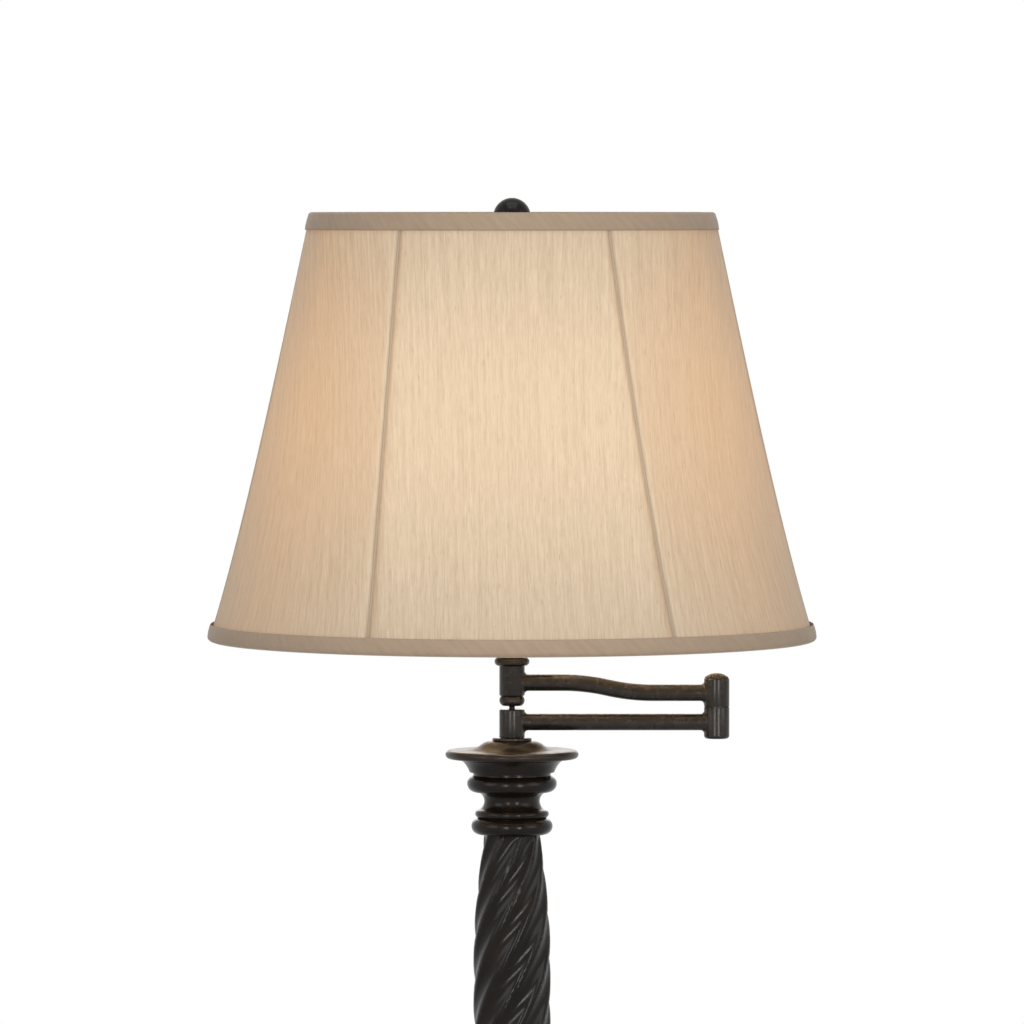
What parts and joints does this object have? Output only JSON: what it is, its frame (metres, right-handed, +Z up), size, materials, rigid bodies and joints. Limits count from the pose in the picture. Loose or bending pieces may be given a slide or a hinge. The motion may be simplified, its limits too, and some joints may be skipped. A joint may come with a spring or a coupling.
{
  "type": "bridge floor lamp",
  "caption": "Swing-arm floor lamp: round weighted base, twisted bronze column, drip disc, folding two-tube arm, keyed socket, harp and a panelled empire fabric shade with a ball finial.",
  "frame": {"origin": "on the floor, on the axis of the column, at the centre of the base", "axes": "+Z up along the column; at rest both arms point along +X, the upper folded back over the lower; -Y faces the viewer"},
  "size_m": [0.4571, 0.4572, 1.524],
  "materials": {
    "bronze_resin": "aged dark bronze paint, satin, rubbed brown on the edges",
    "bronze_metal": "aged dark bronze, satin",
    "cast_iron": "raw casting",
    "steel": "zinc plated",
    "brass": "antique brass plate, satin",
    "shade_wire": "cream enamel",
    "shade_fabric": "cream woven silk look, lined, lets light through",
    "shade_trim": "taupe bias trim, fine diagonal weave",
    "felt": "dark felt",
    "fibre": "pressed paperboard",
    "moulding": "black phenolic",
    "bulb_metal": "bright screw cap",
    "bulb_glass": "frosted inside"
  },
  "bodies": {
    "stand": {"base_felt_pad": "felt", "base_shell": "bronze_resin", "base_weight": "cast_iron", "base_washer": "steel", "base_nut": "steel", "cord_bushing": "moulding", "base_collar": "bronze_resin", "lower_twist_column": "bronze_resin", "middle_collar": "bronze_resin", "upper_twist_column": "bronze_resin", "lower_pipe": "steel", "upper_pipe": "steel", "pipe_coupling": "steel", "column_top_nut": "steel", "capital": "bronze_resin", "bobeche_disc": "bronze_resin", "check_ring": "bronze_metal", "swivel_post": "bronze_metal", "swivel_screw": "bronze_metal"},
    "lower_arm": {"swivel_knuckle": "bronze_metal", "lower_arm_tube": "bronze_metal", "lower_elbow_knuckle": "bronze_metal", "elbow_washer": "fibre", "elbow_bolt": "steel", "elbow_nut": "steel"},
    "upper_arm": {"upper_elbow_knuckle": "bronze_metal", "elbow_cap": "bronze_metal", "upper_arm_tube": "bronze_metal", "socket_cup_knuckle": "bronze_metal", "knuckle_bead_nut": "bronze_metal", "socket_nipple": "brass", "cup_spacer": "brass", "harp_saddle": "brass", "harp": "brass", "harp_sleeves": "brass", "harp_stud": "brass", "socket_cap": "brass", "socket_shell": "brass", "socket_liner": "fibre", "socket_body": "moulding", "socket_screw_shell": "brass", "socket_contact": "brass", "bulb_cap": "bulb_metal", "bulb_glass": "bulb_glass"},
    "switch": {"switch_key": "moulding", "switch_spindle": "brass"},
    "shade": {"shade_spider": "shade_wire", "shade_top_ring": "shade_wire", "shade_bottom_ring": "shade_wire", "shade_ribs": "shade_wire", "shade_panel_1": "shade_fabric", "shade_panel_2": "shade_fabric", "shade_panel_3": "shade_fabric", "shade_panel_4": "shade_fabric", "shade_panel_5": "shade_fabric", "shade_panel_6": "shade_fabric", "shade_top_band": "shade_trim", "shade_bottom_band": "shade_trim"},
    "finial_thread": {"finial_insert": "brass"},
    "finial": {"finial": "bronze_resin"}
  },
  "joints": [
    {"name": "arm_swivel", "type": "hinge", "parent": "stand", "child": "lower_arm", "pos_m": [0, 0, 1.1303], "axis": [0, 0, 1], "range_deg": [-175, 175]},
    {"name": "elbow_swivel", "type": "hinge", "parent": "lower_arm", "child": "upper_arm", "pos_m": [0.1537, 0, 1.142], "axis": [0, 0, 1], "range_deg": [-175, 175]},
    {"name": "switch_turn", "type": "hinge", "parent": "upper_arm", "child": "switch", "pos_m": [0, 0, 1.2161], "axis": [0, -1, 0], "continuous": true},
    {"name": "shade_turn", "type": "hinge", "parent": "upper_arm", "child": "shade", "pos_m": [0, 0, 1.4877], "axis": [0, 0, 1], "continuous": true},
    {"name": "finial_lift", "type": "slide", "parent": "upper_arm", "child": "finial_thread", "axis": [0, 0, 1], "range_m": [0, 0.0019]},
    {"name": "finial_turn", "type": "hinge", "parent": "finial_thread", "child": "finial", "pos_m": [0, 0, 1.4916], "axis": [0, 0, 1], "range_deg": [0, 720]}
  ],
  "couplings": [
    {"joint": "finial_lift", "follows": "finial_turn", "m_per_rad": 0.00014972}
  ]
}
